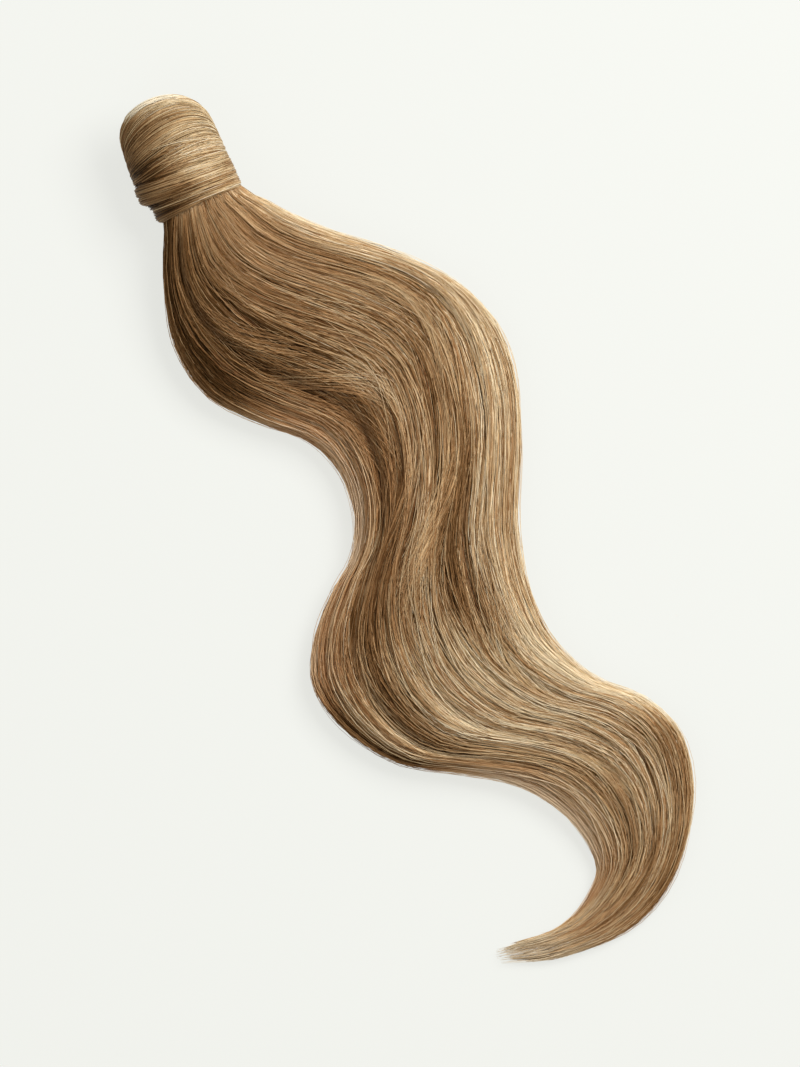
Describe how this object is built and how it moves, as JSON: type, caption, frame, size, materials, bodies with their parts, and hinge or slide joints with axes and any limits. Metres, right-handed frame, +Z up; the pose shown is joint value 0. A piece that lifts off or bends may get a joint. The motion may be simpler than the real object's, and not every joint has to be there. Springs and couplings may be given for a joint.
{
  "type": "ponytail hairpiece",
  "caption": "Clip-on ponytail of long wavy hair that lies flat, its head wound in a short hollow sleeve of the same hair with a slanted open mouth.",
  "frame": {"origin": "middle of the footprint, on the surface that the hairpiece lies on", "axes": "+Z up from that surface, +Y along the winding towards the wearer's head, the tail towards -Y, +X to the right seen from above"},
  "size_m": [0.1428, 0.4322, 0.04],
  "materials": {
    "tail_hair_fibre": "silky blond and brown hair fibre",
    "wrap_hair_fibre": "silky wound hair fibre",
    "comb_plastic": "satin brown plastic"
  },
  "bodies": {
    "root": {"tail_hair": "tail_hair_fibre", "wrap_lock": "wrap_hair_fibre", "wrap_band": "wrap_hair_fibre", "wrap_end": "wrap_hair_fibre", "comb": "comb_plastic"}
  },
  "joints": []
}
